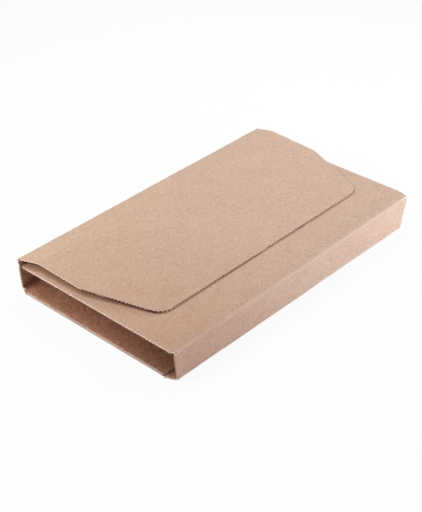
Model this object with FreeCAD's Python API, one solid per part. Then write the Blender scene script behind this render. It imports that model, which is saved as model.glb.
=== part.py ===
"""Book wrap mailer: one sheet of brown board, creased, folded shut and empty.

Frame: X runs along the two long walls, Y from the front wall to the back wall, Z up.
The base lies on Z = 0 and the origin is the middle of the folded mailer, seen from above.
A wall stands on each long side of the base. The front wall carries the cover, which lies over
the mailer and stops just short of the back wall. The back wall carries the closing flap, which
lies over the cover. Both short ends are open, with an end flap folded in on the base at each.
The mailer isn't quite square: pairs of values are for the left end (-X) and the right end (+X).
All sizes are in millimetres.
"""
import FreeCAD, Part
import math
import os
from FreeCAD import Vector

# ---- Board ----
BOARD = 1.5                     # thickness of the sheet
FOLD_OUTSIDE = 1.1              # radius on the outside of a folded crease
FOLD_INSIDE = 0.3               # and on its inside, where the board is crushed
WAVE_PITCH = 3.2                # one full wave of the wave-cut edge
WAVE_DEPTH = 0.6                # crest to trough of that edge
WAVE_FLAT = 0.4                 # share of each half wave that is its flat crest or trough

# ---- Base and walls ----
BASE_LENGTH = 287.2             # over the two end folds
BASE_WIDTH = 172.8              # over the feet of the two walls
FRONT_HEIGHT = (26.6, 33.2)     # top of the front fold at each end
FRONT_LEAN = (0.0, 2.7)         # how far the front wall leans out at its top
BACK_HEIGHT = (32.6, 34.2)      # top of the back fold at each end
BACK_LEAN = (-2.9, -3.9)        # the back wall leans in
FRONT_FOOT_INSET = 4.3          # front wall's ends, in from the end folds
FRONT_TOP_INSET = 1.8
BACK_FOOT_INSET = 3.7
BACK_TOP_INSET = -0.7           # the back wall's top corners stand out past the end folds

# ---- Cover ----
COVER_INSET = (1.0, 1.8)        # its end edges, in from the end folds
COVER_GAP = 1.2                 # from its free edge to the back wall
COVER_EDGE_DROP = (6.8, 2.7)    # its free edge, below the back fold
COVER_CREASE = 11.0             # second crease, in from the front fold
COVER_CREASE_RISE = (0.3, 0.8)  # how far that crease stands above a flat cover
CREASE_SPREAD = 3.0             # run on each side of a second crease in which the board bends
NOTCH_REACH = 3.2               # the notch at each end of the front fold
NOTCH_DEPTH = 0.6

# ---- Closing flap ----
FLAP_CREASE = (19.3, 21.6)      # second crease, in from the back fold
FLAP_CREASE_RISE = (2.1, 6.6)   # and above the back fold
FLAP_CREASE_INSET = (4.3, 2.5)  # the flap's ends at that crease, in from the end folds
FLAP_SHOULDER = (66.4, 70.3)    # where its end edges turn inwards, in from the back fold
FLAP_SHOULDER_RISE = (0.1, 4.0)
FLAP_SHOULDER_INSET = (5.1, 1.5)
FLAP_SHOULDER_SPREAD = 0.8      # share of the run from crease to shoulder over which it bows
FLAP_REACH = (132.2, 135.4)     # front edge, in from the back fold
FLAP_FRONT_INSET = (27.8, 24.3)  # its front corners, before they are rounded
FLAP_CORNER_RADIUS = 14.0
FLAP_REST_GAP = 0.3             # between the front edge and the cover

# ---- End flaps ----
END_FLAP_LENGTH = 96.0
END_FOLD_FRONT_INSET = 10.6     # ends of the fold between base and end flap, in from the walls
END_FOLD_BACK_INSET = 9.6
END_FLAP_FLARE = 2.0            # extra width on each side past the fold
END_FLAP_FLARE_RUN = 12.0       # the run in which it widens
END_FLAP_CORNER = 14.0          # corner cut at its free edge
END_FLAP_SPRING = 2.5           # degrees that it springs up from the base
END_BEND_RADIUS = 0.2
END_RELIEF = 0.4                # slit beside each end of the fold

HALF_LENGTH = BASE_LENGTH / 2
HALF_WIDTH = BASE_WIDTH / 2
LEFT, RIGHT = -1, 1
END_FOLD_FRONT = END_FOLD_FRONT_INSET - HALF_WIDTH
END_FOLD_BACK = HALF_WIDTH - END_FOLD_BACK_INSET
TOOL_MARGIN = 8.0               # how far blanks and cutting tools run past what they cut
FLAT_TOLERANCE = 1e-7           # four corners this near one plane make a flat face
SEW_TOLERANCE = 1e-6


# ---- Small geometry helpers ----
def along(x, pair):
    """The value at x of something that changes evenly from the left end to the right end."""
    left, right = pair
    return left + (right - left) * (x + HALF_LENGTH) / BASE_LENGTH


def mirrored(side, points):
    """Plan or side-view points of the right end, for either end, always in the same order."""
    return [(side * x, other) for x, other in points]


def wave_edges(start, end):
    """Short straight cuts that swing to both sides of the line from start to end."""
    run = end - start
    count = 2 * max(1, round(run.Length / WAVE_PITCH))
    across = Vector(-run.y, run.x, 0).normalize()
    return wave_cuts(count, lambda share, swing: start + run * share + across * swing)


def wave_cuts(count, place):
    """The cuts of count half waves; place(share, swing) puts one point along the edge."""
    points = [place(0, 0)]
    for i in range(count):
        swing = WAVE_DEPTH / 2 * (1 if i % 2 else -1)
        for middle_offset in (-WAVE_FLAT / 2, WAVE_FLAT / 2):
            points.append(place((i + 0.5 + middle_offset) / count, swing))
    points.append(place(1, 0))
    return [line(a, b) for a, b in zip(points, points[1:])]


def line(start, end):
    return Part.LineSegment(start, end).toShape()


def closed_face(edges):
    return Part.Face(Part.Wire(edges))


def outline_face(points, waved):
    """Flat face through (u, v) points; the sides whose number is in waved are wave-cut."""
    corners = [Vector(u, v, 0) for u, v in points]
    edges = []
    for i, start in enumerate(corners):
        end = corners[(i + 1) % len(corners)]
        edges += wave_edges(start, end) if i in waved else [line(start, end)]
    return closed_face(edges)


def plan_tool(face, low, high):
    """Upright prism over a face drawn in plan."""
    tool = face.copy()
    tool.translate(Vector(0, 0, low))
    return tool.extrude(Vector(0, 0, high - low))


def side_tool(face, front, back):
    """Prism along Y over a face drawn as (x, z)."""
    tool = face.copy()
    tool.rotate(Vector(0, 0, 0), Vector(1, 0, 0), 90)
    tool.translate(Vector(0, front, 0))
    return tool.extrude(Vector(0, back - front, 0))


# ---- Sections across the mailer ----
def unit(a, b):
    length = math.hypot(b[0] - a[0], b[1] - a[1])
    return (b[0] - a[0]) / length, (b[1] - a[1]) / length


def inner_path(path):
    """The same folded line one board thickness to its right, which is inside the mailer."""
    shifted = []
    for i, point in enumerate(path):
        before = unit(path[i - 1], point) if i else None
        after = unit(point, path[i + 1]) if i < len(path) - 1 else None
        before = before or after
        after = after or before
        cosine = before[0] * after[0] + before[1] * after[1]
        across = (before[1] + after[1], -before[0] - after[0])
        reach = BOARD / (1 + cosine)
        shifted.append((point[0] + across[0] * reach, point[1] + across[1] * reach))
    return shifted


def section_edges(x, path, bends):
    """Edges along a folded line: bends[i] is ("arc", radius) or ("soft", reach) at corner i."""
    edges = []
    start = Vector(x, *path[0])
    for i in range(1, len(path) - 1):
        corner = Vector(x, *path[i])
        back = Vector(x, *path[i - 1]) - corner
        ahead = Vector(x, *path[i + 1]) - corner
        kind, size = bends[i]
        if kind == "arc":
            half_turn = (math.pi - back.getAngle(ahead)) / 2
            size, radius = size * math.tan(half_turn), size
        enter = corner + back.normalize() * size
        leave = corner + ahead.normalize() * size
        edges.append(line(start, enter))
        if kind == "arc":
            toward = (enter + leave) / 2 - corner
            to_centre = radius / math.cos(half_turn)
            middle = corner + toward.normalize() * (to_centre - radius)
            edges.append(Part.Arc(enter, middle, leave).toShape())
        else:
            curve = Part.BezierCurve()
            curve.setPoles([enter, corner, leave])
            edges.append(curve.toShape())
        start = leave
    edges.append(line(start, Vector(x, *path[-1])))
    return edges


def sheet_section(x, path, bends):
    """All the edges of one section through the folded sheet, in order round it."""
    outer = section_edges(x, path, bends)
    inside = inner_path(path)
    inner = section_edges(x, inside, [("arc", FOLD_INSIDE) if b == FOLD else b for b in bends])
    tip = line(Vector(x, *path[-1]), Vector(x, *inside[-1]))
    tail = line(Vector(x, *inside[0]), Vector(x, *path[0]))
    return outer + [tip] + inner[::-1] + [tail]


def spanning_face(left_edge, right_edge):
    """The face between matching section edges: a plane where the four corners are in one."""
    a, b = left_edge.Vertexes[0].Point, left_edge.Vertexes[-1].Point
    c, d = right_edge.Vertexes[-1].Point, right_edge.Vertexes[0].Point
    straight = left_edge.Curve.TypeId == "Part::GeomLine"
    if straight and abs((b - a).cross(c - a).normalize().dot(d - a)) < FLAT_TOLERANCE:
        return Part.Face(Part.makePolygon([a, b, c, d, a]))
    return Part.makeRuledSurface(left_edge, right_edge)


def folded_blank(section_at):
    """Solid between the sections past the two ends of the mailer."""
    reach = HALF_LENGTH + TOOL_MARGIN
    left = section_at(-reach)
    right = section_at(reach)
    faces = [spanning_face(a, b) for a, b in zip(left, right)]
    faces += [closed_face(Part.sortEdges(left)[0]), closed_face(Part.sortEdges(right)[0])]
    shell = Part.makeShell(faces)
    shell.sewShape()
    solid = Part.makeSolid(shell)
    solid.fix(SEW_TOLERANCE, SEW_TOLERANCE, SEW_TOLERANCE)
    return solid


FOLD = ("arc", FOLD_OUTSIDE)
CREASE = ("soft", CREASE_SPREAD)
SHOULDER_RUN = min(shoulder - crease for shoulder, crease in zip(FLAP_SHOULDER, FLAP_CREASE))
SHOULDER = ("soft", FLAP_SHOULDER_SPREAD * SHOULDER_RUN)


def back_fold(x):
    return HALF_WIDTH + along(x, BACK_LEAN), along(x, BACK_HEIGHT)


def front_fold(x):
    return -HALF_WIDTH - along(x, FRONT_LEAN), along(x, FRONT_HEIGHT)


def back_wall_inside(x, z):
    """Y of the back wall's inner face at height z, where the cover's free edge meets it."""
    y, top = back_fold(x)
    lean = math.hypot(y - HALF_WIDTH, top) / top
    return HALF_WIDTH + (y - HALF_WIDTH) * z / top - BOARD * lean


def cover_path(x):
    """Front half of the base, front wall and cover, as the outside of the folded line."""
    fold_y, fold_z = front_fold(x)
    edge_z = back_fold(x)[1] - along(x, COVER_EDGE_DROP)
    edge_y = back_wall_inside(x, edge_z) - COVER_GAP
    share = COVER_CREASE / (edge_y - fold_y)
    crease_z = fold_z + (edge_z - fold_z) * share + along(x, COVER_CREASE_RISE)
    crease = (fold_y + COVER_CREASE, crease_z)
    return [(edge_y, edge_z), crease, (fold_y, fold_z), (-HALF_WIDTH, 0), (0, 0)]


def cover_top(x, y):
    """Height of the cover's upper face behind its second crease."""
    edge, crease = cover_path(x)[:2]
    return crease[1] + (edge[1] - crease[1]) * (y - crease[0]) / (edge[0] - crease[0])


def flap_path(x):
    """Closing flap, back wall and back half of the base, as the outside of the folded line."""
    fold_y, fold_z = back_fold(x)
    front_y = fold_y - along(x, FLAP_REACH)
    front_z = cover_top(x, front_y) + FLAP_REST_GAP + BOARD
    shoulder = (fold_y - along(x, FLAP_SHOULDER), fold_z + along(x, FLAP_SHOULDER_RISE))
    slope = (shoulder[1] - front_z) / (shoulder[0] - front_y)
    blank_y = front_y - TOOL_MARGIN
    blank_end = (blank_y, front_z - slope * TOOL_MARGIN)
    crease = (fold_y - along(x, FLAP_CREASE), fold_z + along(x, FLAP_CREASE_RISE))
    return [(0, 0), (HALF_WIDTH, 0), (fold_y, fold_z), crease, shoulder, blank_end][::-1]


def cover_section(x):
    return sheet_section(x, cover_path(x)[::-1], [None, FOLD, FOLD, CREASE, None])


def flap_section(x):
    return sheet_section(x, flap_path(x), [None, SHOULDER, CREASE, FOLD, FOLD, None])


# ---- Wave-cut outlines ----
# Each waste tool is the space beyond an outline, and is cut away from a blank.
def base_waste(side):
    """Beyond one end of the base: the end fold's line and the two slanted corners."""
    fold_line = HALF_LENGTH - END_BEND_RADIUS - BOARD
    front_end = END_FOLD_FRONT - END_RELIEF
    back_end = END_FOLD_BACK + END_RELIEF
    front_foot = HALF_LENGTH - FRONT_FOOT_INSET
    back_foot = HALF_LENGTH - BACK_FOOT_INSET
    beyond = HALF_LENGTH + 2 * TOOL_MARGIN
    points = [(beyond, -HALF_WIDTH - TOOL_MARGIN), (front_foot, -HALF_WIDTH - TOOL_MARGIN),
              (front_foot, -HALF_WIDTH), (HALF_LENGTH, front_end), (fold_line, front_end),
              (fold_line, back_end), (HALF_LENGTH, back_end), (back_foot, HALF_WIDTH),
              (back_foot, HALF_WIDTH + TOOL_MARGIN), (beyond, HALF_WIDTH + TOOL_MARGIN)]
    face = outline_face(mirrored(side, points), waved={2, 6})
    return plan_tool(face, -TOOL_MARGIN, 2 * BOARD)


def front_wall_waste(side):
    """Beyond one end of the front wall, with the wall's half of the notch at the fold."""
    fold_y, fold_z = front_fold(side * HALF_LENGTH)
    foot = HALF_LENGTH - FRONT_FOOT_INSET
    top = HALF_LENGTH - FRONT_TOP_INSET
    notch = top - NOTCH_DEPTH
    beyond = HALF_LENGTH + 2 * TOOL_MARGIN
    bend = BOARD + FOLD_INSIDE
    points = [(foot, -TOOL_MARGIN), (foot, bend), (top, fold_z - NOTCH_REACH),
              (notch, fold_z - NOTCH_REACH), (notch, fold_z + TOOL_MARGIN),
              (beyond, fold_z + TOOL_MARGIN), (beyond, -TOOL_MARGIN)]
    face = outline_face(mirrored(side, points), waved={1})
    return side_tool(face, fold_y - TOOL_MARGIN, -HALF_WIDTH + bend)


def back_wall_waste(side):
    """Beyond one end of the back wall, up to and over the back fold."""
    fold_y, fold_z = back_fold(side * HALF_LENGTH)
    foot = HALF_LENGTH - BACK_FOOT_INSET
    top = HALF_LENGTH - BACK_TOP_INSET
    beyond = HALF_LENGTH + 2 * TOOL_MARGIN
    points = [(foot, -TOOL_MARGIN), (foot, BOARD + FOLD_INSIDE), (top, fold_z),
              (top, fold_z + TOOL_MARGIN), (beyond, fold_z + TOOL_MARGIN), (beyond, -TOOL_MARGIN)]
    face = outline_face(mirrored(side, points), waved={1})
    return side_tool(face, fold_y - BOARD - FOLD_INSIDE, HALF_WIDTH + TOOL_MARGIN)


def cover_waste(side):
    """Beyond one end of the cover, with the cover's half of the notch at the fold."""
    x = side * HALF_LENGTH
    fold_y, fold_z = front_fold(x)
    edge_y, edge_z = cover_path(x)[0]
    end = HALF_LENGTH - along(x, COVER_INSET)
    notch = HALF_LENGTH - FRONT_TOP_INSET - NOTCH_DEPTH
    beyond = HALF_LENGTH + 2 * TOOL_MARGIN
    points = [(beyond, -HALF_WIDTH + BOARD), (notch, -HALF_WIDTH + BOARD),
              (notch, fold_y + NOTCH_REACH), (end, fold_y + NOTCH_REACH),
              (end, edge_y + TOOL_MARGIN), (beyond, edge_y + TOOL_MARGIN)]
    face = outline_face(mirrored(side, points), waved={3})
    return plan_tool(face, edge_z / 2, max(edge_z, fold_z) + TOOL_MARGIN)


def flap_outline():
    """The closing flap seen from above, from the back fold to its front edge."""
    def end_points(side):
        x = side * HALF_LENGTH
        fold_y = back_fold(x)[0]
        return [(side * (HALF_LENGTH - BACK_TOP_INSET), fold_y),
                (side * (HALF_LENGTH - along(x, FLAP_CREASE_INSET)), fold_y - along(x, FLAP_CREASE)),
                (side * (HALF_LENGTH - along(x, FLAP_SHOULDER_INSET)),
                 fold_y - along(x, FLAP_SHOULDER)),
                (side * (HALF_LENGTH - along(x, FLAP_FRONT_INSET)), fold_y - along(x, FLAP_REACH))]

    left = [Vector(x, y, 0) for x, y in end_points(LEFT)]
    right = [Vector(x, y, 0) for x, y in end_points(RIGHT)]
    left_arc = corner_arc(left[2], left[3], right[3], FLAP_CORNER_RADIUS)
    right_arc = corner_arc(left[3], right[3], right[2], FLAP_CORNER_RADIUS)
    edges = wave_edges(left[0], left[1]) + wave_edges(left[1], left[2])
    edges += wave_edges(left[2], left_arc[0]) + wave_round(*left_arc)
    edges += wave_edges(left_arc[2], right_arc[0]) + wave_round(*right_arc)
    edges += wave_edges(right_arc[2], right[2]) + wave_edges(right[2], right[1])
    edges += wave_edges(right[1], right[0])
    return edges, left[0], right[0]


def corner_arc(before, corner, after, radius):
    """Start, centre and end of the arc that rounds a corner."""
    back = (before - corner).normalize()
    ahead = (after - corner).normalize()
    half = back.getAngle(ahead) / 2
    reach = radius / math.tan(half)
    centre = corner + (back + ahead).normalize() * (radius / math.sin(half))
    return corner + back * reach, centre, corner + ahead * reach


def wave_round(start, centre, end):
    """Wave cuts that follow a round corner from start to end."""
    first = start - centre
    turn = first.getAngle(end - centre)
    sense = 1 if first.cross(end - centre).z > 0 else -1
    begin = math.atan2(first.y, first.x)
    count = 2 * max(1, round(first.Length * turn / WAVE_PITCH))

    def place(share, swing):
        angle = begin + sense * turn * share
        return centre + Vector(math.cos(angle), math.sin(angle), 0) * (first.Length + swing)

    return wave_cuts(count, place)


def flap_waste():
    """Round the closing flap, in front of the back wall."""
    edges, left_start, right_end = flap_outline()
    beyond = HALF_LENGTH + 2 * TOOL_MARGIN
    front = -HALF_WIDTH - TOOL_MARGIN
    around = [right_end, Vector(beyond, right_end.y, 0), Vector(beyond, front, 0),
              Vector(-beyond, front, 0), Vector(-beyond, left_start.y, 0), left_start]
    edges += [line(a, b) for a, b in zip(around, around[1:])]
    low = min(BACK_HEIGHT) / 2
    high = max(BACK_HEIGHT) + max(FLAP_CREASE_RISE) + TOOL_MARGIN
    return plan_tool(closed_face(edges), low, high)


# ---- The pieces of the sheet ----
def cover_part():
    """Front half of the base with the front wall and the cover."""
    solid = folded_blank(cover_section)
    for side in (LEFT, RIGHT):
        solid = solid.cut(base_waste(side))
        solid = solid.cut(front_wall_waste(side))
        solid = solid.cut(cover_waste(side))
    return solid


def flap_part():
    """Back half of the base with the back wall and the closing flap."""
    solid = folded_blank(flap_section)
    for side in (LEFT, RIGHT):
        solid = solid.cut(base_waste(side))
        solid = solid.cut(back_wall_waste(side))
    return solid.cut(flap_waste())


def end_flap(side):
    """End flap, folded in and over the base, with its bend."""
    radius = END_BEND_RADIUS
    spring = math.radians(END_FLAP_SPRING)
    centre = Vector(HALF_LENGTH - BOARD - radius, 0, BOARD + radius)
    inward = Vector(-math.cos(spring), 0, math.sin(spring))
    outward = Vector(math.sin(spring), 0, math.cos(spring))
    run = END_FLAP_LENGTH + TOOL_MARGIN

    def bend(size):
        return Part.Arc(centre - Vector(0, 0, size), centre + Vector(size, 0, 0),
                        centre + outward * size).toShape()

    outer_end = centre + outward * (radius + BOARD)
    inner_end = centre + outward * radius
    edges = [bend(radius + BOARD), line(outer_end, outer_end + inward * run),
             line(outer_end + inward * run, inner_end + inward * run),
             line(inner_end + inward * run, inner_end), bend(radius),
             line(centre - Vector(0, 0, radius), centre - Vector(0, 0, radius + BOARD))]
    blank = closed_face(Part.sortEdges(edges)[0])
    blank.translate(Vector(0, -HALF_WIDTH, 0))
    blank = blank.extrude(Vector(0, BASE_WIDTH, 0))

    flare_x = HALF_LENGTH - END_FLAP_FLARE_RUN
    free_x = HALF_LENGTH - END_FLAP_LENGTH
    corner_x = free_x + END_FLAP_CORNER
    wide_front = END_FOLD_FRONT - END_FLAP_FLARE
    wide_back = END_FOLD_BACK + END_FLAP_FLARE
    points = [(HALF_LENGTH + BOARD, END_FOLD_FRONT), (HALF_LENGTH - BOARD, END_FOLD_FRONT),
              (flare_x, wide_front), (corner_x, wide_front),
              (free_x, wide_front + END_FLAP_CORNER), (free_x, wide_back - END_FLAP_CORNER),
              (corner_x, wide_back), (flare_x, wide_back),
              (HALF_LENGTH - BOARD, END_FOLD_BACK), (HALF_LENGTH + BOARD, END_FOLD_BACK)]
    keep = plan_tool(outline_face(points, waved=set(range(1, 8))), -BOARD, HALF_WIDTH)
    flap = blank.common(keep)
    return flap if side == RIGHT else flap.mirror(Vector(0, 0, 0), Vector(1, 0, 0))


def centred(shape):
    """Moved along X and Y so that the middle of its box is over the origin."""
    box = shape.optimalBoundingBox(False, False)
    shape = shape.copy()
    shape.translate(Vector(-box.Center.x, -box.Center.y, 0))
    return shape


folded_board = cover_part().fuse([flap_part(), end_flap(LEFT), end_flap(RIGHT)])
folded_board = centred(folded_board.removeSplitter().Solids[0])
print("volume", round(folded_board.Volume), "mm3, valid", folded_board.isValid())
print("box", folded_board.optimalBoundingBox(False, False))

os.makedirs("parts", exist_ok=True)
folded_board.exportStep("parts/folded_board.step")
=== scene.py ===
# %% [markdown]
# # A book wrap mailer, folded shut
# A book wrap is one sheet of brown kraft board. It is cut out flat, creased, and folded round a
# book: a base, two long walls, a cover that starts from the front wall, and a closing flap that
# starts from the back wall and lies over the cover. The construction is already made, as one
# solid, so this lesson starts from that solid and gives it the looks of real board.

# %% Load the frame
import bpy
import math
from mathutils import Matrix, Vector, noise
from mathutils.bvhtree import BVHTree
from mathutils.kdtree import KDTree


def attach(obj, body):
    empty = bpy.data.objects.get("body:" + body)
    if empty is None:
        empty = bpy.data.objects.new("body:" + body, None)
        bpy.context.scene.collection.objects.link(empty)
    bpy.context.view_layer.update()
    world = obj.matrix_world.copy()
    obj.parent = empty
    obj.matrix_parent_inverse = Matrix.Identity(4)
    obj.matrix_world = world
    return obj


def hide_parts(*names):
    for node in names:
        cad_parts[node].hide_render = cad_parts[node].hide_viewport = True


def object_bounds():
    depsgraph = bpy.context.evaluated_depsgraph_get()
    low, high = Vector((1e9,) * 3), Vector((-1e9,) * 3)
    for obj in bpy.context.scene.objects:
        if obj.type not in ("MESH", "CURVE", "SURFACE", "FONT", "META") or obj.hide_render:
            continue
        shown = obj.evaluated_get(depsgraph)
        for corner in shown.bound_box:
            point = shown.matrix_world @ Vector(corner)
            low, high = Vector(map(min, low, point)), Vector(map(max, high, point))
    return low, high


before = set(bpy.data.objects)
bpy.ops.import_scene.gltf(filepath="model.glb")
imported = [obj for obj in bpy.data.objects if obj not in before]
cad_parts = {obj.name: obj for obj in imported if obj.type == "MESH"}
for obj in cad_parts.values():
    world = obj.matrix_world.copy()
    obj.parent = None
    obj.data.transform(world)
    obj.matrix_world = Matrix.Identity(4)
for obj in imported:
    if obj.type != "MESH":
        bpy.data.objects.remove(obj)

cad_low, cad_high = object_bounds()
cad_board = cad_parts["folded_board"]
MM = 0.001
print("mailer box, mm:", [round(v / MM, 1) for v in (*cad_low, *cad_high)])

# %% [markdown]
# ## A mesh that can carry detail
# The solid arrives as long thin triangles, from one edge of a panel right across to the other.
# They are exact, but a panel made of them can't bend, and real board is never quite flat. One
# could model each panel again, but the outlines are wave-cut and already right, so a copy of the
# solid's mesh is kept and ruled across with the Bisect tool, like squared paper. The solid itself
# is left alone.

# %% Copy the board
def only(piece):
    """Select one object and nothing else."""
    bpy.ops.object.select_all(action="DESELECT")
    piece.select_set(True)
    bpy.context.view_layer.objects.active = piece


board = bpy.data.objects.new("mailer_board", cad_board.data.copy())
bpy.context.scene.collection.objects.link(board)
board.data.materials.clear()
print("copied", len(board.data.polygons), "triangles")

# %% Merge the loose triangles and rule the panels
MERGE = 0.001 * MM
FLAT_ANGLE = math.radians(0.05)    # neighbours flatter than this become one face
RULING = 5 * MM                    # distance between the ruled lines


def rule(axis, low, high):
    """Cut across the whole mesh with evenly spaced planes that are square to an axis."""
    normal = [0, 0, 0]
    normal[axis] = 1
    count = round((high - low) / RULING)
    for i in range(1, count):
        place = [0, 0, 0]
        place[axis] = low + (high - low) * i / count
        bpy.ops.mesh.select_all(action="SELECT")
        bpy.ops.mesh.bisect(plane_co=place, plane_no=normal, threshold=MERGE)


only(board)
bpy.ops.object.mode_set(mode="EDIT")
bpy.ops.mesh.select_all(action="SELECT")
bpy.ops.mesh.remove_doubles(threshold=MERGE)
bpy.ops.mesh.dissolve_limited(angle_limit=FLAT_ANGLE)
for axis in range(3):
    rule(axis, cad_low[axis], cad_high[axis])
bpy.ops.object.mode_set(mode="OBJECT")
print("ruled into", len(board.data.polygons), "faces")

# %% [markdown]
# ## Which faces are liner and which are cut edge
# The brown liners and the cut edge of the board look different, so they take their own materials.
# They could be picked out by their direction, but the edges wave and the panels slope. A surer
# test is to look straight into the board from each face: behind a liner the other liner is just
# one board away, and behind a cut edge there is nothing but board for a long way. The liner that
# faces the inside of the mailer is told apart as well, as it is turned towards the middle of the
# mailer: it gets a redder, more mottled brown, painted darker as the shade inside the mailer. The
# low folds at the two open ends face out and down, and get a greyer shade, which is painted bounce
# light from the pale floor.

# %% Sort the faces
FINISHES = ("outside", "inside", "cut edge", "painted_bounce")
OUTSIDE, INSIDE, CUT_EDGE, PAINTED_BOUNCE = range(len(FINISHES))
BOARD = 1.5 * MM
LOOK_IN = 1.9 * BOARD              # past this there is no second liner, even across a fold
NUDGE = 0.01 * MM                  # the look starts this far under the surface
MIDDLE_HEIGHT = 16 * MM            # half the height of the space for the book
MIDDLE_SHARE = 0.9                 # the middle is taken this close to the end a face is at
END_FOLD_TOP = 4 * MM              # the folds at the open ends lie below this
END_FOLD_TURN = 0.5                # and are turned at least this much towards their end

board_tree = BVHTree.FromObject(board, bpy.context.evaluated_depsgraph_get())
for face in board.data.polygons:
    start = face.center - face.normal * NUDGE
    middle = Vector((face.center.x * MIDDLE_SHARE, 0, MIDDLE_HEIGHT))
    if not board_tree.ray_cast(start, -face.normal, LOOK_IN)[0]:
        face.material_index = CUT_EDGE
    # the inside liner: a redder colour, painted darker as the shade inside the mailer
    elif face.normal.dot(middle - face.center) > 0:
        face.material_index = INSIDE
    # the low end folds: a greyer colour, painted bounce light from the pale floor
    elif abs(face.normal.x) > END_FOLD_TURN and face.center.z < END_FOLD_TOP:
        face.material_index = PAINTED_BOUNCE
for kind, finish in enumerate(FINISHES):
    print(finish, "faces:", sum(face.material_index == kind for face in board.data.polygons))

# %% [markdown]
# ## The open ends of the flutes
# Inside the board a wavy paper, the fluting, holds the two liners apart, and its waves, the
# flutes, run straight across the mailer. A cut edge that crosses them shows their open ends as a
# row of small mouths, dark with the shade inside them, and a cut edge that runs along them shows
# only the pale side of one. The cutting rule is a wave rule with the same pitch, so the mouths sit
# in its hollows. Modelling each mouth would take thousands of faces, so the material paints their
# shade instead, and three numbers are kept on the points of the cut edges for it to read: how far
# through the board a point is, how deep it lies in a hollow of an open edge, and whether that edge
# crosses the flutes at all. A hollow is found by comparing a point with the middle of its
# neighbours on the same edge.

# %% Collect the points of the cut edges
edge_faces = [face for face in board.data.polygons if face.material_index == CUT_EDGE]
edge_points = sorted({number for face in edge_faces for number in face.vertices})
outward = {number: Vector() for number in edge_points}
for face in edge_faces:
    for number in face.vertices:
        outward[number] += face.normal * face.area
edge_finder = KDTree(len(edge_points))
for i, number in enumerate(edge_points):
    edge_finder.insert(board.data.vertices[number].co, i)
edge_finder.balance()
print("cut edge points:", len(edge_points))

# %% Measure how far through the board they lie
def liner_tree(kind):
    """A search tree of the faces of one liner."""
    faces = [face.vertices for face in board.data.polygons if face.material_index == kind]
    return BVHTree.FromPolygons([v.co for v in board.data.vertices], faces)


def keep_on_points(name, values):
    """Keep a number on each point of the cut edges, under a name that a material can read."""
    kept = board.data.attributes.new(name, "FLOAT", "POINT")
    for number, value in zip(edge_points, values):
        kept.data[number].value = value


outside_tree, inside_tree = liner_tree(OUTSIDE), liner_tree(INSIDE)
through = []
for number in edge_points:
    point = board.data.vertices[number].co
    to_outside = outside_tree.find_nearest(point)[3]
    to_inside = inside_tree.find_nearest(point)[3]
    through.append(to_outside / max(to_outside + to_inside, NUDGE))
keep_on_points("through", through)
print("on average they lie", round(sum(through) / len(through), 2), "of the way through")

# %% Measure how deep in a hollow they lie
NEAR = 2.6 * MM                    # neighbours this near count, so hollows and crests balance
HOLLOW = 0.3 * MM                  # how far a hollow lies behind the middle of the edge
CROSSING = (0.26, 0.33)            # an edge that leans less shows no mouths, and one past this all
DEEP = 0.6                         # from here on a point is counted as in a hollow


def smooth(low, high, value):
    """0 below low, 1 above high, and an even curve between."""
    share = min(max((value - low) / (high - low), 0), 1)
    return share * share * (3 - 2 * share)


def depth_in_hollow(number):
    """How deep a point lies in a hollow of the wave cut, and whether the edge crosses the flutes."""
    point = board.data.vertices[number].co
    middle, normal, count = Vector(), Vector(), 0
    for other, index, _ in edge_finder.find_range(point, NEAR):
        if outward[edge_points[index]].dot(outward[number]) > 0:
            middle += other
            normal += outward[edge_points[index]]
            count += 1
    normal.normalize()
    back = (middle / count - point).dot(normal) / HOLLOW
    crosses = smooth(*CROSSING, max(abs(normal.y), abs(normal.z)))
    return min(max(0.5 + 0.5 * back, 0), 1) * crosses, crosses


hollows = [depth_in_hollow(number) for number in edge_points]
keep_on_points("mouth", [depth for depth, crosses in hollows])
keep_on_points("crossing", [crosses for depth, crosses in hollows])
print("points in hollows:", sum(depth > DEEP for depth, crosses in hollows))

# %% [markdown]
# ## The two long folds
# The front fold joins the front wall to the cover, and the back fold joins the back wall to the
# closing flap. Board is crushed there, so the folds get some looks of their own, and both are
# found here as straight lines: at each end of the mailer, the point that reaches furthest up and
# out.

# %% Find the folds
END_ZONE = 136 * MM                # points past this, on either side, belong to an end


def fold_ends(reach):
    """The left and right end of the fold that lies furthest in a direction."""
    ends = []
    for side in (-1, 1):
        points = [v.co for v in board.data.vertices if v.co.x * side > END_ZONE]
        ends.append(max(points, key=lambda point: point.dot(reach)).copy())
    return ends


front_fold = fold_ends(Vector((0, -1, 1)))
back_fold = fold_ends(Vector((0, 1, 1)))
for name, (left, right) in (("front", front_fold), ("back", back_fold)):
    print(name, "fold, mm:", [round(v / MM, 1) for v in (*left, *right)])

# %% [markdown]
# ## Panels that aren't quite flat
# Board takes up damp, is stacked and handled, and ends up with shallow waves a hand's breadth
# long. They could be painted in as bump, but bump doesn't move an outline, so the points
# themselves are moved: up or down where they are high on the mailer, in or out on the walls, and
# a little to and fro along the folds. The field is smooth and depends on the place alone, so both
# liners move together and the board keeps its thickness. The base stays flat on what it rests on,
# and nothing leaves the solid's box.

# %% Describe the drift of panels and walls
PANEL_DRIFT = 0.25 * MM            # how far the top panels leave their plane
WALL_DRIFT = 0.3 * MM              # and the walls, halfway up
DRIFT_LENGTH = 70 * MM
HIGH = 20 * MM                     # above this a point belongs to the cover or the closing flap
WALL_ZONE = 80 * MM                # past this, on either side, a point belongs to a wall
TOP_IN_WALLS = 1.2                 # the height of the whole mailer, in heights of its walls
FRONT_ROW, BACK_ROW = 3, 7         # each wall reads its own row of the noise


def panel_lift(point):
    """How far a point of a top panel moves up."""
    place = Vector((point.x, point.y, 0)) / DRIFT_LENGTH
    return noise.noise(place) * PANEL_DRIFT * smooth(0, HIGH, point.z)


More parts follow.
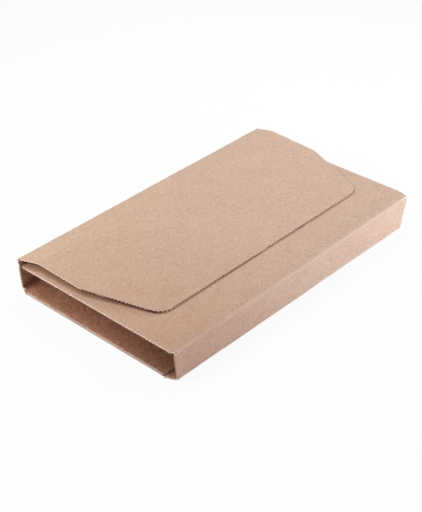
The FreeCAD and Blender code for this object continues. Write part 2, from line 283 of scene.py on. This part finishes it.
def wall_shift(point):
    """How far a point of a wall moves along Y, most of all halfway up."""
    row = BACK_ROW if point.y > 0 else FRONT_ROW
    wave = noise.noise(Vector((point.x / DRIFT_LENGTH, row, 0)))
    halfway = math.sin(math.pi * min(point.z / cad_high.z * TOP_IN_WALLS, 1))
    return wave * WALL_DRIFT * halfway * smooth(WALL_ZONE, WALL_ZONE + RULING / 2, abs(point.y))


print("drift of the panels and the walls, mm:", PANEL_DRIFT / MM, WALL_DRIFT / MM)

# %% Let the board drift
FOLD_CRUSH = 0.35 * MM             # how far a fold wanders from its straight line
FOLD_STEP = 9 * MM                 # in waves about this long
FOLD_REACH = 5 * MM                # and how far beside the fold that is felt
ACROSS_ROW, UP_ROW = 11, 17        # the rows of the noise that move it across and up


def from_line(point, line):
    """Distance of a point from the straight line through a fold."""
    along = (line[1] - line[0]).normalized()
    return (point - line[0]).cross(along).length


def fold_crush(point):
    """How far a point on or beside a fold moves across and up."""
    place = point.x / FOLD_STEP
    across = noise.noise(Vector((place, ACROSS_ROW, 0)))
    up = noise.noise(Vector((place, 0, UP_ROW)))
    nearness = max(1 - from_line(point, line) / FOLD_REACH for line in (front_fold, back_fold))
    return Vector((0, across, up)) * FOLD_CRUSH * smooth(0, 1, nearness)


def drift(point):
    """Where a point of perfect board ends up on real board."""
    moved = point + Vector((0, wall_shift(point), panel_lift(point))) + fold_crush(point)
    return Vector(min(max(v, low), high) for v, low, high in zip(moved, cad_low, cad_high))


furthest = 0
for vertex in board.data.vertices:
    moved = drift(vertex.co)
    furthest = max(furthest, (moved - vertex.co).length)
    vertex.co = moved
board.data.update()
print("points drifted by up to", round(furthest / MM, 2), "mm")

# %% [markdown]
# ## Round folds and sharp edges
# A fold turns the light softly, and a cut edge is a hard corner. The corners could be bevelled,
# but the solid's folds are round already, so smooth shading across small angles is enough. The
# Weighted Normal modifier then lets the wide faces lead, so that a panel stays evenly lit right
# up to the narrow faces of its fold.

# %% Smooth the folds and keep the cut edges sharp
SMOOTH_BELOW = math.radians(50)

only(board)
bpy.ops.object.shade_smooth_by_angle(angle=SMOOTH_BELOW)
bpy.ops.object.modifier_add(type="WEIGHTED_NORMAL")
board.modifiers[0].keep_sharp = True
bpy.ops.object.modifier_apply(modifier=board.modifiers[0].name)
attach(board, "root")
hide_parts("folded_board")
print(board.name, "has", len(board.data.vertices), "points")

# %% [markdown]
# ## The colour of kraft
# Unbleached kraft is a mat of brown wood fibres: broad soft clouds where the pulp lay thicker,
# clumps of a few millimetres, and single fibres finer than a millimetre that mostly lie one way.
# All three are noise at different sizes, and a few dark flecks of bark are dots in the squares of
# a Voronoi texture. They are built once as a node group, because both the liner and the cut edge
# use them, and the group only puts out a colour and a height.

# %% Helpers that make nodes
def new_group(name, inputs, outputs):
    """An empty shader node group with named sockets of the kinds given, and its two end nodes."""
    group = bpy.data.node_groups.new(name, "ShaderNodeTree")
    for in_out, sockets in (("INPUT", inputs), ("OUTPUT", outputs)):
        for socket_name, kind in sockets.items():
            group.interface.new_socket(socket_name, in_out=in_out, socket_type="NodeSocket" + kind)
    return group, group.nodes.new("NodeGroupInput"), group.nodes.new("NodeGroupOutput")


def feed(tree, value, socket):
    """Link an output to a socket, or set the socket to a plain value."""
    if isinstance(value, bpy.types.NodeSocket):
        tree.links.new(value, socket)
    else:
        socket.default_value = value


def maths(tree, operation, *values, clamp=False):
    """A Math node with links or numbers on its inputs; returns its output."""
    node = tree.nodes.new("ShaderNodeMath")
    node.operation = operation
    node.use_clamp = clamp
    for socket, value in zip(node.inputs, values):
        feed(tree, value, socket)
    return node.outputs[0]


def vectors(tree, operation, *values):
    """A Vector Math node; returns its number where the answer is one, else its vector."""
    node = tree.nodes.new("ShaderNodeVectorMath")
    node.operation = operation
    for socket, value in zip(node.inputs, values):
        feed(tree, value, socket)
    one_number = operation in ("DOT_PRODUCT", "DISTANCE", "LENGTH")
    return node.outputs["Value" if one_number else "Vector"]


# %% Helpers for grain and flecks
FLECK_CELL = 7 * MM                # each such square could hold one fleck
FLECK_NONE = 0.72                  # but this share of them has none
FLECK_SIZE = 0.09                  # the largest radius, as a share of the square
FLECK_RIM = 40                     # how sharply a fleck ends


def noise_at(tree, vector, per_metre, detail, share=(1, 1, 1)):
    """Noise with about per_metre features to a metre, times the share along each axis."""
    mapping = tree.nodes.new("ShaderNodeMapping")
    mapping.inputs["Scale"].default_value = [per_metre * s for s in share]
    tree.links.new(vector, mapping.inputs["Vector"])
    node = tree.nodes.new("ShaderNodeTexNoise")
    node.inputs["Scale"].default_value = 1
    node.inputs["Detail"].default_value = detail
    tree.links.new(mapping.outputs[0], node.inputs["Vector"])
    return node.outputs["Fac"]


def swing(tree, value, amount):
    """A noise between 0 and 1 made to swing evenly about 0, by the amount from end to end."""
    return maths(tree, "MULTIPLY_ADD", value, amount, -amount / 2)


def flecks(tree, place):
    """Small dark shives of bark: a dot in the few squares whose random number is high."""
    cells = tree.nodes.new("ShaderNodeTexVoronoi")
    cells.inputs["Scale"].default_value = 1 / FLECK_CELL
    tree.links.new(place, cells.inputs["Vector"])
    number = tree.nodes.new("ShaderNodeSeparateColor")
    tree.links.new(cells.outputs["Color"], number.inputs[0])
    chosen = maths(tree, "GREATER_THAN", number.outputs[0], FLECK_NONE)
    size = maths(tree, "MULTIPLY", number.outputs[1], FLECK_SIZE)
    inside = maths(tree, "SUBTRACT", size, cells.outputs["Distance"])
    dot = maths(tree, "MULTIPLY", inside, FLECK_RIM, clamp=True)
    return maths(tree, "MULTIPLY", dot, chosen)


# %% Build the kraft group
CLOUDS, CLUMPS, FIBRES = 0.18, 0.44, 0.8      # how much each of them changes the brightness
CLOUDS_PER_METRE, CLUMPS_PER_METRE, FIBRES_PER_METRE = 60, 380, 1100
FIBRE_LIE = (0.6, 1, 1)            # fibres lie along the mailer, so fewer are met that way
SOFT, FINE = 2, 3                  # how many finer layers a noise has
GRAIN_TINT = (0.6, 1.0, 1.0)       # how much of that change red, green and blue take
FLECK_DARK = 0.22


def kraft_group():
    """Colour and height of kraft paper; Contrast says how strong its grain is."""
    group, inward, outward = new_group(
        "Kraft fibres", {"Vector": "Vector", "Colour": "Color", "Contrast": "Float"},
        {"Colour": "Color", "Height": "Float"})
    place = inward.outputs["Vector"]
    clouds = noise_at(group, place, CLOUDS_PER_METRE, SOFT)
    clumps = noise_at(group, place, CLUMPS_PER_METRE, FINE)
    fibres = noise_at(group, place, FIBRES_PER_METRE, FINE, FIBRE_LIE)
    total = swing(group, clouds, CLOUDS)
    total = maths(group, "ADD", total, swing(group, clumps, CLUMPS))
    total = maths(group, "ADD", total, swing(group, fibres, FIBRES))
    bark = maths(group, "MULTIPLY", flecks(group, place), FLECK_DARK)
    total = maths(group, "SUBTRACT", total, bark)
    total = maths(group, "MULTIPLY", total, inward.outputs["Contrast"])
    grain = vectors(group, "MULTIPLY_ADD", total, GRAIN_TINT, (1, 1, 1))
    coloured = vectors(group, "MULTIPLY", inward.outputs["Colour"], grain)
    group.links.new(coloured, outward.inputs["Colour"])
    half_of_each = maths(group, "MULTIPLY", maths(group, "ADD", clumps, fibres), 0.5)
    group.links.new(half_of_each, outward.inputs["Height"])
    return group


KRAFT = kraft_group()
print("group:", KRAFT.name, "with", len(KRAFT.nodes), "nodes")

# %% [markdown]
# ## What cutting and folding do to the board
# Three more effects are groups, each a mask with no colour of its own. Where a cut edge crosses
# the flutes, their mouths open between the two liners, and the cut edge material paints them dark
# as the shade inside. Beside each fold lies a strip of the panel, which the outside material paints
# darker beside the front fold, as painted shade, and lighter beside the back fold, as painted
# highlight. On the fold itself the paper is stretched pale, and the ends of the flutes press
# through it like beads on a string. The folds could be painted face by face, but a mask measured
# from a straight line is smoother, and serves both folds.

# %% Build the flute group
LINER_SHARE = 0.12                 # each liner's share of the board's thickness
LINER_RIM = 1 / 12                 # the share over which it gives way to the mouth
MOUTH_RIM = (0.12, 0.52)           # how deep in a hollow a mouth begins, and is fully open


def ramp(tree, value, limits):
    """0 at the first limit, 1 at the second, even between them, and unchanged past them."""
    zero, one = limits
    return maths(tree, "MULTIPLY_ADD", value, 1 / (one - zero), -zero / (one - zero), clamp=True)


def flute_group():
    """Where the cut edge opens into a flute: 1 in the mouth and 0 on paper."""
    group, inward, outward = new_group(
        "Flute mouths", {"Through": "Float", "Mouth": "Float"}, {"Open": "Float"})
    across = inward.outputs["Through"]
    from_liner = maths(group, "MINIMUM", across, maths(group, "SUBTRACT", 1, across))
    between = ramp(group, from_liner, (LINER_SHARE, LINER_SHARE + LINER_RIM))
    hollow = ramp(group, inward.outputs["Mouth"], MOUTH_RIM)
    group.links.new(maths(group, "MULTIPLY", between, hollow), outward.inputs["Open"])
    return group


FLUTES = flute_group()
print("group:", FLUTES.name, "with", len(FLUTES.nodes), "nodes")

# %% Build the fold groups
PITCH = 3.2 * MM                   # from one flute to the next
STRIP_START = (1 / 24, 1 / 8)      # the strip fades in and out over these shares of its width
STRIP_END = (1.05, 0.95)


def distance_along(tree, place, way, start):
    """How far a place lies from start, measured in one direction."""
    return vectors(tree, "DOT_PRODUCT", vectors(tree, "SUBTRACT", place, start), way)


def fold_group():
    """1 on a fold and 0 past Width from it, and the beads of the flutes along it."""
    group, inward, outward = new_group(
        "On a fold", {"Vector": "Vector", "Start": "Vector", "Along": "Vector", "Width": "Float"},
        {"Mask": "Float", "Beads": "Float"})
    place, start, along, width = list(inward.outputs)[:4]
    across = vectors(group, "CROSS_PRODUCT", vectors(group, "SUBTRACT", place, start), along)
    share = maths(group, "DIVIDE", vectors(group, "LENGTH", across), width)
    mask = maths(group, "SUBTRACT", 1, share, clamp=True)
    group.links.new(mask, outward.inputs["Mask"])
    split = group.nodes.new("ShaderNodeSeparateXYZ")
    group.links.new(place, split.inputs[0])
    wave = maths(group, "SINE", maths(group, "MULTIPLY", split.outputs["X"], math.tau / PITCH))
    group.links.new(maths(group, "MULTIPLY", wave, mask), outward.inputs["Beads"])
    return group


def strip_group():
    """1 on the strip of panel that lies beside a fold, on its Inward side."""
    group, inward, outward = new_group(
        "Strip beside a fold",
        {"Vector": "Vector", "Start": "Vector", "Inward": "Vector", "Width": "Float"},
        {"Mask": "Float"})
    place, start, way, width = list(inward.outputs)[:4]
    share = maths(group, "DIVIDE", distance_along(group, place, way, start), width)
    past_fold, before_end = ramp(group, share, STRIP_START), ramp(group, share, STRIP_END)
    group.links.new(maths(group, "MULTIPLY", past_fold, before_end), outward.inputs["Mask"])
    return group


ON_FOLD, BESIDE_FOLD = fold_group(), strip_group()
print("groups:", ON_FOLD.name, "and", BESIDE_FOLD.name)

# %% [markdown]
# ## The two liners
# The liner outside is pale and even, and the one inside is redder and more mottled, and painted
# darker as the shade inside the mailer. Each could have its own grain, but they are the same
# paper, so both materials place the kraft group and give it other values. Over it the outside
# carries the strips beside the folds with their painted shade and highlight, the pale folds with
# their beads and three specks of bark, and both liners are painted darker towards the near front
# corner, as shade where the light falls off. What is the same all over, such as the roughness, is
# set on the shader's own socket.

# %% Helpers for paper materials
PAPER_ROUGHNESS = 0.85
PAPER_GLOSS = 0.3


def use_group(tree, group, label, **values):
    """Place a node group in a material, with links or plain values on its named inputs."""
    node = tree.nodes.new("ShaderNodeGroup")
    node.node_tree = group
    node.label = label
    for name, value in values.items():
        feed(tree, value, node.inputs[name])
    return node


def relief(tree, height, depth):
    """A Bump node, on which a height of 1 stands proud by depth."""
    node = tree.nodes.new("ShaderNodeBump")
    node.inputs["Distance"].default_value = depth
    tree.links.new(height, node.inputs["Height"])
    return node


def kraft_material(name, colour, contrast, depth):
    """Paper in one colour, with the fibres in its colour and its relief."""
    material = bpy.data.materials.new(name)
    material.use_nodes = True
    tree = material.node_tree
    shader = tree.nodes["Principled BSDF"]
    shader.inputs["Roughness"].default_value = PAPER_ROUGHNESS
    shader.inputs["Specular IOR Level"].default_value = PAPER_GLOSS
    place = tree.nodes.new("ShaderNodeTexCoord").outputs["Object"]
    kraft = use_group(tree, KRAFT, "Kraft", Vector=place, Colour=colour, Contrast=contrast)
    tree.links.new(kraft.outputs["Colour"], shader.inputs["Base Color"])
    fibres = relief(tree, kraft.outputs["Height"], depth)
    tree.links.new(fibres.outputs["Normal"], shader.inputs["Normal"])
    return material


# %% Helpers that add to a material
def opened(material):
    """The tree, shader, Object coordinates and paper colour of a kraft material."""
    tree = material.node_tree
    shader = tree.nodes["Principled BSDF"]
    place = tree.nodes["Texture Coordinate"].outputs["Object"]
    return tree, shader, place, shader.inputs["Base Color"].links[0].from_socket


def mix_colour(tree, factor, a, b, blend="MIX"):
    """A Mix node for colours: a where the factor is 0, b where it is 1."""
    node = tree.nodes.new("ShaderNodeMix")
    node.data_type = "RGBA"
    node.blend_type = blend
    for number, value in ((0, factor), (6, a), (7, b)):
        feed(tree, value, node.inputs[number])
    return node.outputs[2]


# %% Describe the folds and the specks
FOLD_WIDTH = 2.2 * MM
FOLD_PALE = 0.35                   # how much of the stretched colour shows on the crest of a fold
CREASE_SLANT = -0.0115             # the crease beside the back fold isn't quite in line with it
# each fold's name, line and way inwards, then its strip's width and how much brighter it is painted,
# below 0 as painted shade and above 0 as painted highlight
FOLDS = (("front fold", front_fold, (0, 1, 0), 11 * MM, -0.03),
         ("back fold", back_fold, (CREASE_SLANT, -1, 0), 19.3 * MM, 0.06))
SPECKS = ((-106.4, -5.2), (-47.6, -3.9), (67.8, -0.3))        # their places in mm, seen from above
SPECK_SIZE = 1.1 * MM
SPECK_DARK = 0.25


def folded(tree, place):
    """The painted shade and highlight of the strips beside the two folds, and how stretched and beaded
    the folds make the paper.
    """
    bright, pale, beads = 1, 0, 0
    for name, (left, right), inward, width, change in FOLDS:
        beside = use_group(tree, BESIDE_FOLD, "Strip beside the " + name, Vector=place,
                           Start=left, Inward=inward, Width=width)
        on_it = use_group(tree, ON_FOLD, "On the " + name, Vector=place,
                          Start=left, Along=(right - left).normalized(), Width=FOLD_WIDTH)
        bright = maths(tree, "MULTIPLY_ADD", beside.outputs["Mask"], change, bright)
        pale = maths(tree, "MULTIPLY_ADD", on_it.outputs["Mask"], FOLD_PALE, pale)
        beads = maths(tree, "ADD", on_it.outputs["Beads"], beads)
    return bright, pale, beads


def speckled(tree, place, bright):
    """The same brightness, with each speck darker."""
    flat = vectors(tree, "MULTIPLY", place, (1, 1, 0))
    for x, y in SPECKS:
        apart = vectors(tree, "DISTANCE", flat, (x * MM, y * MM, 0))
        speck = ramp(tree, apart, (SPECK_SIZE, SPECK_SIZE / 2))
        bright = maths(tree, "MULTIPLY_ADD", speck, -SPECK_DARK, bright)
    return bright


print("folds and specks:", len(FOLDS), "and", len(SPECKS))

# %% Make the liner materials
OUTSIDE_COLOUR = (0.650, 0.455, 0.335, 1)
# painted shade: the inside liner is darker than the outside, as the shade inside the mailer
INSIDE_SHADED_COLOUR = (0.482, 0.261, 0.18, 1)
STRETCHED_COLOUR = (0.80, 0.66, 0.56, 1)
OUTSIDE_CONTRAST, INSIDE_CONTRAST = 1.0, 2.6
LINER_BUMP = 0.03 * MM
BEAD_HEIGHT = 0.1 * MM
# painted shade: both liners darken towards this corner, where the light falls off
SHADE_CORNER = (-135 * MM, -75 * MM, 20 * MM)
CORNER_SHADE_REACH, CORNER_SHADE_REACH_INSIDE = 150 * MM, 75 * MM             # how far from it the painted shade reaches
CORNER_SHADE_TINT, CORNER_SHADE_TINT_INSIDE = (0.87, 0.81, 0.78, 1), (0.60, 0.53, 0.50, 1)
UP, BACKWARDS, ORIGIN = Vector((0, 0, 1)), Vector((0, 1, 0)), Vector((0, 0, 0))
BASE_TOP = (1.5 * MM, 2 * MM)      # the base and its edges lie below this


def painted_corner_shade(tree, place, paper, reach, tint):
    """The paper's colour, painted darker towards the near front corner, as shade."""
    near = ramp(tree, vectors(tree, "DISTANCE", place, SHADE_CORNER), (reach, 0))
    return mix_colour(tree, near, paper, tint, blend="MULTIPLY")


def outside_material():
    """Kraft with the painted shade and highlight beside the folds, the pale beaded folds, three specks
    of bark and painted corner shade.
    """
    material = kraft_material("kraft_outside", OUTSIDE_COLOUR, OUTSIDE_CONTRAST, LINER_BUMP)
    tree, shader, place, paper = opened(material)
    bright, pale, beads = folded(tree, place)
    shaded = tree.nodes.new("ShaderNodeVectorMath")
    shaded.operation = "SCALE"
    tree.links.new(paper, shaded.inputs[0])
    tree.links.new(speckled(tree, place, bright), shaded.inputs["Scale"])
    paper = mix_colour(tree, pale, shaded.outputs[0], STRETCHED_COLOUR)
    paper = painted_corner_shade(tree, place, paper, CORNER_SHADE_REACH, CORNER_SHADE_TINT)
    tree.links.new(paper, shader.inputs["Base Color"])
    beading = relief(tree, beads, BEAD_HEIGHT)
    tree.links.new(shader.inputs["Normal"].links[0].from_socket, beading.inputs["Normal"])
    tree.links.new(beading.outputs["Normal"], shader.inputs["Normal"])
    return material


def inside_material():
    """The inside liner, with more painted shade towards the same corner but for the base."""
    material = kraft_material("kraft_inside_shaded", INSIDE_SHADED_COLOUR, INSIDE_CONTRAST, LINER_BUMP)
    tree, shader, place, paper = opened(material)
    corner_shaded = painted_corner_shade(tree, place, paper, CORNER_SHADE_REACH_INSIDE, CORNER_SHADE_TINT_INSIDE)
    off_base = ramp(tree, distance_along(tree, place, UP, ORIGIN), BASE_TOP)
    tree.links.new(mix_colour(tree, off_base, paper, corner_shaded), shader.inputs["Base Color"])
    return material


board.data.materials.append(outside_material())
board.data.materials.append(inside_material())
print("liners:", [material.name for material in board.data.materials])

# %% [markdown]
# ## The cut edges
# A cut edge is torn paper, pale and quite without gloss, and part of its paleness is painted
# highlight where the light catches it, but the edges of one mailer differ. The base's are the
# palest, and those of the walls and end flaps, low at the open ends, are painted dark brown as
# shade. The cover's is painted darker towards the front, as shade. The closing flap stands clear
# of the cover, so that its side edges show the hollow of a flute, painted nearly black as shade,
# its front edge a row of mouths painted dark as shade between pale crests, and its slanted edges,
# which cut the flutes aslant, are painted dark nearly all over as shade. Each could be a material,
# but the looks run into one another, so one material tells them apart with a ramp for each limit,
# upwards or backwards. The folds low at the open ends are plain kraft in a greyer shade, painted
# bounce light from the pale floor.

# %% Tell the cut edges apart
LOW_EDGE_TOP = (22 * MM, 25.5 * MM)           # the edges of the walls and end flaps lie below this
FLAP_EDGE_BOTTOM = (0.6 * MM, 1.4 * MM)       # the closing flap's lie this far above the front fold
FRONT_SHADE = (60 * MM, -10 * MM)                 # the cover's edge is painted darker, as shade, from the first to the second
FRONT_EDGE = (-47 * MM, -41 * MM)             # the flap's front edge lies before this
SIDE_EDGE = (19 * MM, 16 * MM)                # and its straight side edges lie behind this
SLANT_SHADE = 0.6                   # how much of the dark crest colour, painted shade, its slanted edges have all over

left, right = front_fold
off_cover = Vector((left.z - right.z, 0, right.x - left.x)).normalized()


def edge_masks(tree, place):
    """Masks for the parts of the cut edge, by name."""
    above_cover = distance_along(tree, place, off_cover, front_fold[0])
    above_floor = distance_along(tree, place, UP, ORIGIN)
    backwards = distance_along(tree, place, BACKWARDS, ORIGIN)
    masks = {"off_base": ramp(tree, above_floor, BASE_TOP),
             "high": ramp(tree, above_floor, LOW_EDGE_TOP),
             "flap": ramp(tree, above_cover, FLAP_EDGE_BOTTOM),
             "front_shade": ramp(tree, backwards, FRONT_SHADE),
             "behind_front": ramp(tree, backwards, FRONT_EDGE)}
    slanted = maths(tree, "MULTIPLY", masks["behind_front"], ramp(tree, backwards, SIDE_EDGE))
    slanted = maths(tree, "MULTIPLY", slanted, masks["flap"])
    masks["slanted"] = maths(tree, "MULTIPLY", slanted, SLANT_SHADE)
    return masks


print("the cover climbs to the right by", round(math.degrees(off_cover.angle(UP)), 2), "degrees")

# %% Colour the cut edges
# pale torn paper brought nearly to white; part of that is painted highlight where the light catches the
# edges
EDGE_COLOUR = (1.0, 0.85, 0.775, 1)
# painted shade towards the front of the cover's edge
FRONT_SHADE_TINT = (0.84, 0.82, 0.81, 1)
BASE_EDGE_COLOUR = (0.95, 0.79, 0.72, 1)
# painted shade on the low edges of the walls and end flaps
LOW_EDGE_SHADE_COLOUR = (0.50, 0.34, 0.26, 1)
# the pale upper half of the flap's side edges, part of it painted highlight
FLAP_EDGE_COLOUR = (1.0, 0.84, 0.76, 1)
# painted shade in the hollow below it
FLAP_HOLLOW_SHADE_COLOUR = (0.045, 0.016, 0.008, 1)
FLAP_HOLLOW = (0.52, 0.6)          # how far through the board the painted shade of its side edge's hollow begins
CREST_SHADE_COLOUR = (0.14, 0.06, 0.04, 1)          # painted shade between the mouths of an edge that crosses flutes
FRONT_CREST_SHADE_COLOUR = (0.72, 0.50, 0.38, 1)    # and, less dark, between those of the front edge


def kept_number(tree, name):
    """A number that was kept on the points of the cut edges."""
    reader = tree.nodes.new("ShaderNodeAttribute")
    reader.attribute_name = name
    return reader.outputs["Fac"]


def edge_paper(tree, paper, masks, through):
    """The colour of each cut edge with its painted shade, but for the mouths."""
    paper = mix_colour(tree, masks["front_shade"], paper, FRONT_SHADE_TINT, blend="MULTIPLY")
    hollow = ramp(tree, through, FLAP_HOLLOW)
    flap = mix_colour(tree, hollow, FLAP_EDGE_COLOUR, FLAP_HOLLOW_SHADE_COLOUR)
    paper = mix_colour(tree, masks["flap"], paper, flap)
    paper = mix_colour(tree, masks["high"], LOW_EDGE_SHADE_COLOUR, paper)
    crest = mix_colour(tree, masks["behind_front"], FRONT_CREST_SHADE_COLOUR, CREST_SHADE_COLOUR)
    crested = maths(tree, "MAXIMUM", kept_number(tree, "crossing"), masks["slanted"])
    paper = mix_colour(tree, crested, paper, crest)
    return mix_colour(tree, masks["off_base"], BASE_EDGE_COLOUR, paper)


# %% Make the cut edge and scuffed fold materials
# painted shade inside the open flutes
MOUTH_SHADE_COLOUR = (0.03, 0.012, 0.007, 1)
FRONT_MOUTH_SHARE = 0.6            # how much of a mouth's painted shade shows on the front edge
# painted bounce light: the greyer kraft of the low end folds stands in for the floor's light
PAINTED_BOUNCE_COLOUR = (0.54, 0.44, 0.385, 1)
RAW_CONTRAST = 1.4
EDGE_BUMP = 0.1 * MM


def edge_material():
    """The cut edge: torn paper, painted dark as shade where flutes open."""
    material = kraft_material("cut_edge", EDGE_COLOUR, RAW_CONTRAST, EDGE_BUMP)
    tree, shader, place, paper = opened(material)
    shader.inputs["Specular IOR Level"].default_value = 0
    masks = edge_masks(tree, place)
    through = kept_number(tree, "through")
    paper = edge_paper(tree, paper, masks, through)
    flutes = use_group(tree, FLUTES, "Mouths", Through=through, Mouth=kept_number(tree, "mouth"))
    share = maths(tree, "MULTIPLY_ADD", masks["behind_front"], 1 - FRONT_MOUTH_SHARE, FRONT_MOUTH_SHARE)
    dark = maths(tree, "MULTIPLY", flutes.outputs["Open"], share)
    tree.links.new(mix_colour(tree, dark, paper, MOUTH_SHADE_COLOUR), shader.inputs["Base Color"])
    return material


board.data.materials.append(edge_material())
board.data.materials.append(kraft_material("painted_bounce_fold", PAINTED_BOUNCE_COLOUR, RAW_CONTRAST, LINER_BUMP))
print("materials:", [material.name for material in board.data.materials])

# %% [markdown]
# ## Floor and light
# The mailer stands on a plain pale sweep. One lamp would leave the open end black and the folds
# hard, so eight softboxes share the work. The one with most power is overhead, a little behind,
# and gives the top panels their even light. Four on the left light the near end, one behind on
# the right is as cool as a window, and a low one on the right and a wide one in front fill the
# long wall. A faint pale world softens what is left in shadow.

# %% Floor
FLOOR_SIZE = 12                    # metres
FLOOR_GREY = 0.8                   # the paper's own shade, which throws light back on the mailer
FLOOR_GLOW = 0.91                  # how bright the camera sees it even in full shadow


def seen_directly(tree):
    """1 for what the camera sees, straight or in a gloss or through glass, and 0 for other light."""
    rays = tree.nodes.new("ShaderNodeLightPath").outputs
    mirrored = maths(tree, "MAXIMUM", rays["Is Glossy Ray"], rays["Is Transmission Ray"])
    return maths(tree, "MAXIMUM", rays["Is Camera Ray"], mirrored)


def grey_paper(tree, grey):
    """A matt shader in a plain grey."""
    shader = tree.nodes.new("ShaderNodeBsdfDiffuse")
    shader.inputs["Color"].default_value = (grey, grey, grey, 1)
    return shader


def floor_material():
    """White paper; what the camera sees of it is lifted towards white and keeps the shadow."""
    material = bpy.data.materials.new("pale_sweep")
    material.use_nodes = True
    tree = material.node_tree
    tree.nodes.remove(tree.nodes["Principled BSDF"])
    glow = tree.nodes.new("ShaderNodeEmission")
    glow.inputs["Strength"].default_value = FLOOR_GLOW
    seen = tree.nodes.new("ShaderNodeAddShader")
    tree.links.new(grey_paper(tree, 1 - FLOOR_GLOW).outputs[0], seen.inputs[0])
    tree.links.new(glow.outputs[0], seen.inputs[1])
    pick = tree.nodes.new("ShaderNodeMixShader")
    tree.links.new(seen_directly(tree), pick.inputs[0])
    tree.links.new(grey_paper(tree, FLOOR_GREY).outputs[0], pick.inputs[1])
    tree.links.new(seen.outputs[0], pick.inputs[2])
    tree.links.new(pick.outputs[0], tree.nodes["Material Output"].inputs[0])
    return material


bpy.ops.object.select_all(action="DESELECT")
bpy.ops.mesh.primitive_plane_add(size=FLOOR_SIZE, location=(0, 0, cad_low.z))
floor = bpy.context.object
floor.name = "floor"
floor.data.materials.append(floor_material())
print("floor of", FLOOR_SIZE, "m at height", round(cad_low.z / MM, 2), "mm")

# %% World
WORLD_FILL = 0.06


def pale_world(fill):
    """Even white light at the fill level; the camera sees plain white."""
    world = bpy.data.worlds.new("studio")
    bpy.context.scene.world = world
    world.use_nodes = True
    tree = world.node_tree
    background = tree.nodes["Background"]
    seen = maths(tree, "MULTIPLY_ADD", seen_directly(tree), 1 - fill, fill)
    tree.links.new(seen, background.inputs["Strength"])
    background.inputs["Color"].default_value = (1, 1, 1, 1)
    return world


print("world:", pale_world(WORLD_FILL).name, "at", WORLD_FILL)

# %% Lamps
COOL = (0.92, 1.0, 1.11)
WARM = (1.12, 0.97, 0.83)
MAUVE = (1.04, 1.0, 1.15)
LEFT_CORNER = (-0.14, 0.08, 0.02)  # at the back of the near end
RIGHT_CORNER = (0.14, -0.08, 0.02)            # at the front of the far end


def direction(azimuth, elevation):
    """Unit vector away from the mailer; azimuth 0 is the side of the front wall."""
    a, e = math.radians(azimuth), math.radians(elevation)
    return Vector((math.sin(a) * math.cos(e), -math.cos(a) * math.cos(e), math.sin(e)))


def softbox(name, azimuth, elevation, distance, size, power, tint=(1, 1, 1), aim=(0, 0, 0)):
    """A square lamp that faces its aim; distance and size are in metres, and power in watts."""
    lamp = bpy.data.lights.new(name, "AREA")
    lamp.color = tint
    lamp.shape = "SQUARE"
    lamp.size = size
    lamp.energy = power
    holder = bpy.data.objects.new(name, lamp)
    bpy.context.scene.collection.objects.link(holder)
    away = direction(azimuth, elevation)
    holder.location = Vector(aim) + away * distance
    holder.rotation_euler = away.to_track_quat("Z", "Y").to_euler()
    print(name, "at", [round(v, 2) for v in holder.location])


softbox("near_left_box", -120, 35, 0.55, 0.3, 0.62, tint=WARM, aim=LEFT_CORNER)
softbox("low_left_fill", -115, 9, 0.4, 0.2, 0.4, tint=WARM, aim=LEFT_CORNER)
softbox("left_box", -85, 36, 1.2, 0.35, 1.95, tint=WARM)
softbox("overhead_box", -150, 68, 1.2, 0.5, 4.85)
softbox("back_left_box", -135, 45, 1.2, 0.4, 1.3)
softbox("window_box", 120, 45, 0.6, 0.3, 0.97, tint=COOL)
softbox("low_right_box", 50, 10, 0.5, 0.3, 3.5, tint=COOL, aim=RIGHT_CORNER)
softbox("front_fill", 0, 20, 1.0, 0.5, 2.15, tint=MAUVE)

# %% [markdown]
# ## Camera
# A long lens from a little over a metre keeps the long edges nearly parallel. It stands above the
# corner between the front wall and the near open end, so that the end, the front wall and the
# whole top show at once.

# %% Camera
CAMERA_AZIMUTH = -47.62
CAMERA_ELEVATION = 34.08
CAMERA_DISTANCE = 1.0685
CAMERA_AIM = (-0.0024, 0.0069, 0)
LENS = 89.7

camera_data = bpy.data.cameras.new("camera")
camera_data.lens = LENS
camera = bpy.data.objects.new("camera", camera_data)
bpy.context.scene.collection.objects.link(camera)
camera_away = direction(CAMERA_AZIMUTH, CAMERA_ELEVATION)
camera.location = Vector(CAMERA_AIM) + camera_away * CAMERA_DISTANCE
camera.rotation_euler = camera_away.to_track_quat("Z", "Y").to_euler()
bpy.context.scene.camera = camera
bpy.context.scene.view_settings.view_transform = "Standard"
print("camera at", [round(v, 3) for v in camera.location])
